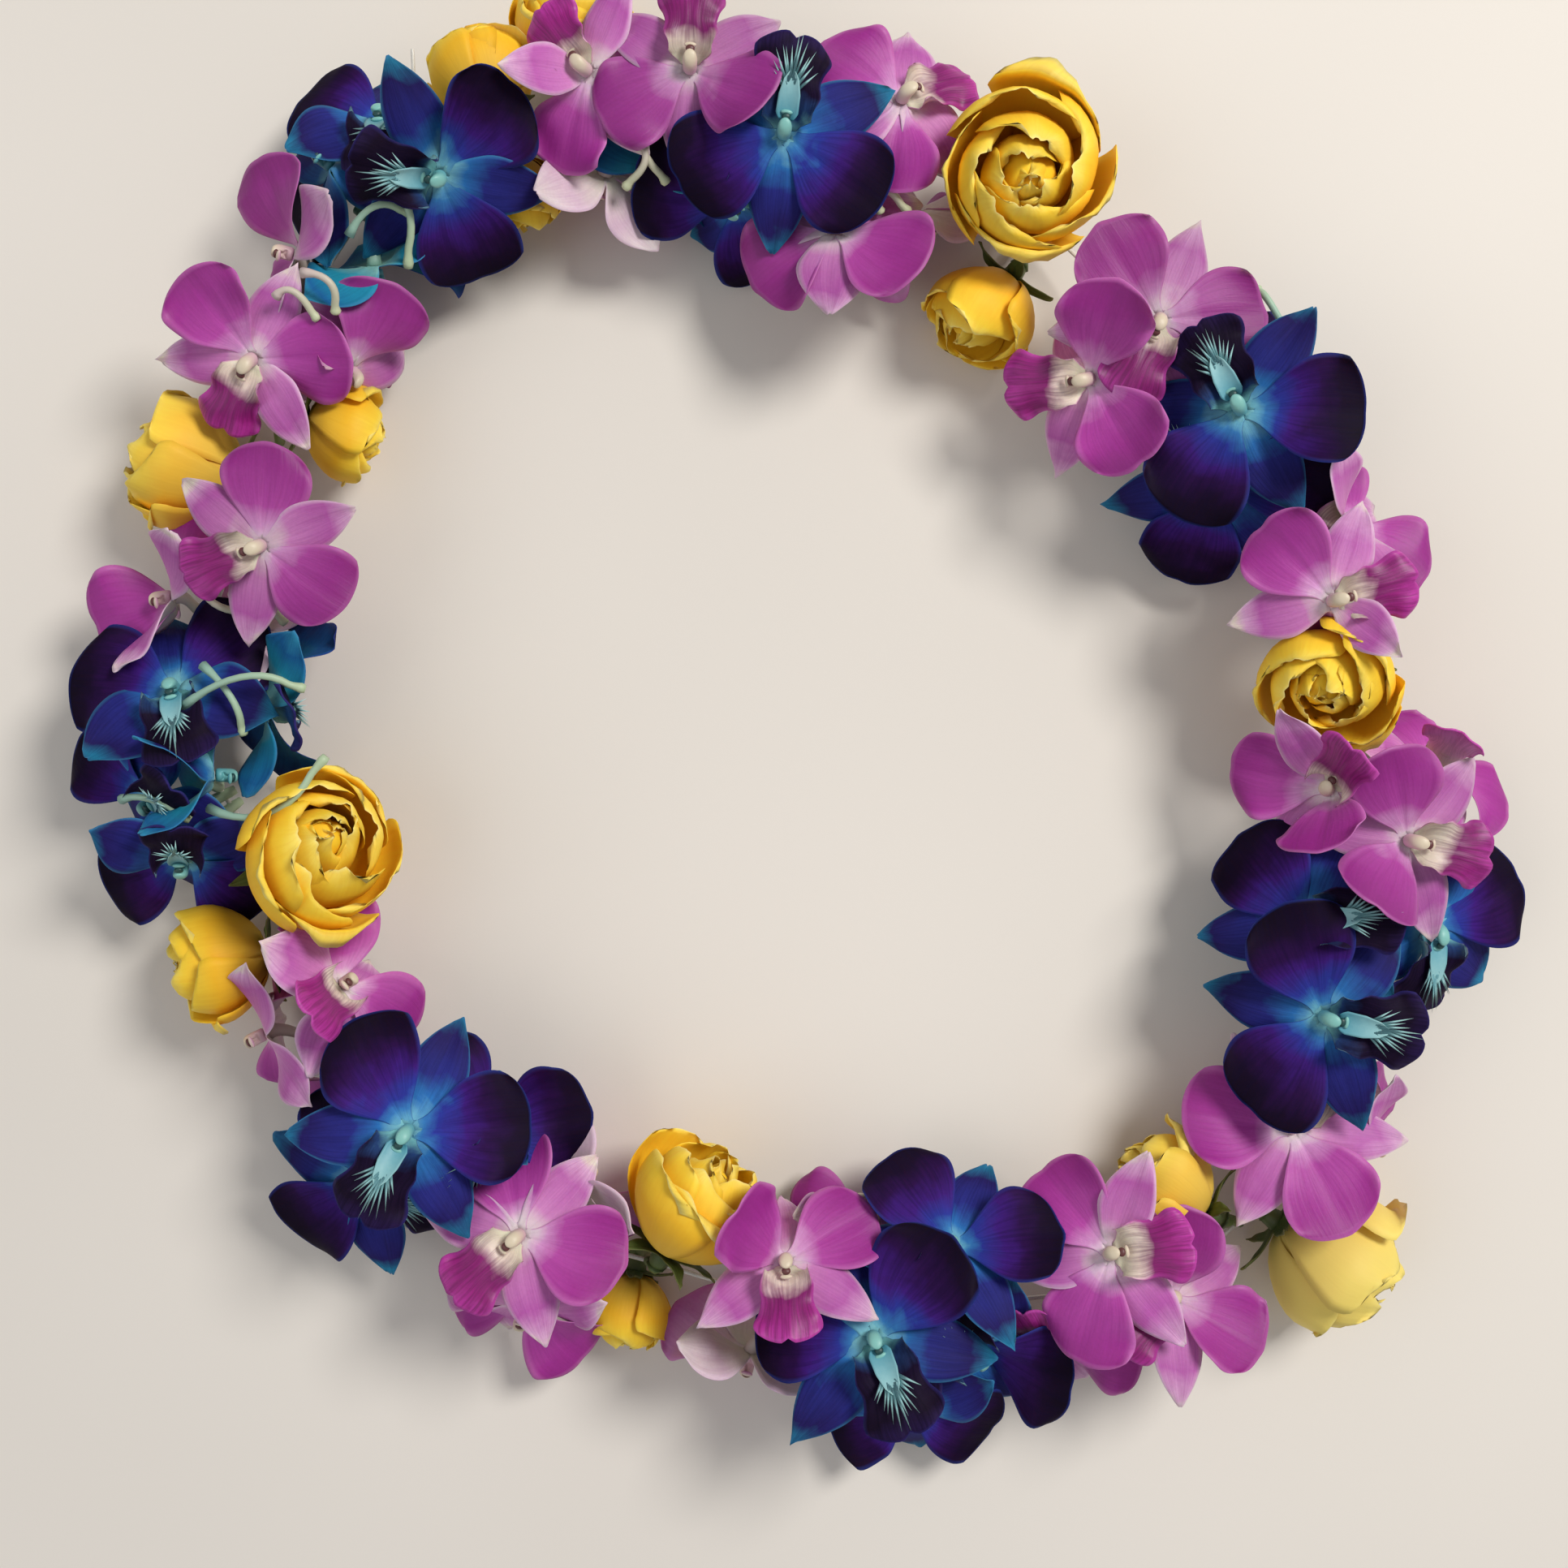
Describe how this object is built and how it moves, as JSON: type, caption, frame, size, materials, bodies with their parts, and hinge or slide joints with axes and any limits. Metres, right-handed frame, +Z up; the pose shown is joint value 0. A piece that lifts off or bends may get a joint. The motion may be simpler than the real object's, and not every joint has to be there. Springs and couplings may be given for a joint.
{
  "type": "floral wreath",
  "caption": "Open ring of fresh orchid and rose blooms strung on one closed thread, a flower garland worn round the neck or laid down as a wreath.",
  "frame": {"origin": "on the surface that the garland lies on, below the middle of its bounding box, inside the ring", "axes": "+Z up from that surface, +Y towards the top edge of the picture, +X towards its right edge"},
  "size_m": [0.4375, 0.4617, 0.0676],
  "materials": {
    "purple_orchid": "satin living petal, pink-purple with a white throat and paler backs",
    "blue_orchid": "velvety dyed petal, indigo running out to blue, with turquoise backs and throat",
    "rose_petals": "soft matt yellow petal, deeper in the folds",
    "rose_calyx": "matt leaf green",
    "thread": "pale twisted thread"
  },
  "bodies": {
    "root": {"calyxes_a": "rose_calyx", "calyxes_e": "rose_calyx", "calyxes_i": "rose_calyx", "calyxes_m": "rose_calyx", "calyxes_q": "rose_calyx", "calyxes_u": "rose_calyx", "calyxes_x": "rose_calyx", "orchids_b1": "purple_orchid", "orchids_b2": "purple_orchid", "orchids_c1": "blue_orchid", "orchids_c2": "blue_orchid", "orchids_d1": "purple_orchid", "orchids_d2": "purple_orchid", "orchids_f1": "purple_orchid", "orchids_f2": "purple_orchid", "orchids_g1": "blue_orchid", "orchids_g2": "blue_orchid", "orchids_h1": "purple_orchid", "orchids_j1": "purple_orchid", "orchids_j2": "purple_orchid", "orchids_k1": "blue_orchid", "orchids_k2": "blue_orchid", "orchids_l1": "purple_orchid", "orchids_n1": "purple_orchid", "orchids_n2": "purple_orchid", "orchids_o1": "blue_orchid", "orchids_o2": "blue_orchid", "orchids_p1": "purple_orchid", "orchids_p2": "purple_orchid", "orchids_r1": "purple_orchid", "orchids_r2": "purple_orchid", "orchids_s1": "blue_orchid", "orchids_s2": "blue_orchid", "orchids_t1": "purple_orchid", "orchids_t2": "purple_orchid", "orchids_v1": "blue_orchid", "orchids_v2": "blue_orchid", "orchids_w1": "purple_orchid", "orchids_w2": "purple_orchid", "orchids_y1": "purple_orchid", "orchids_y2": "purple_orchid", "orchids_z1": "blue_orchid", "orchids_z2": "blue_orchid", "rose_a1": "rose_petals", "rose_a2": "rose_petals", "rose_a3": "rose_petals", "rose_e1": "rose_petals", "rose_e2": "rose_petals", "rose_i1": "rose_petals", "rose_m1": "rose_petals", "rose_m2": "rose_petals", "rose_q1": "rose_petals", "rose_q2": "rose_petals", "rose_u1": "rose_petals", "rose_u2": "rose_petals", "rose_x1": "rose_petals", "rose_x2": "rose_petals", "thread": "thread"}
  },
  "joints": []
}
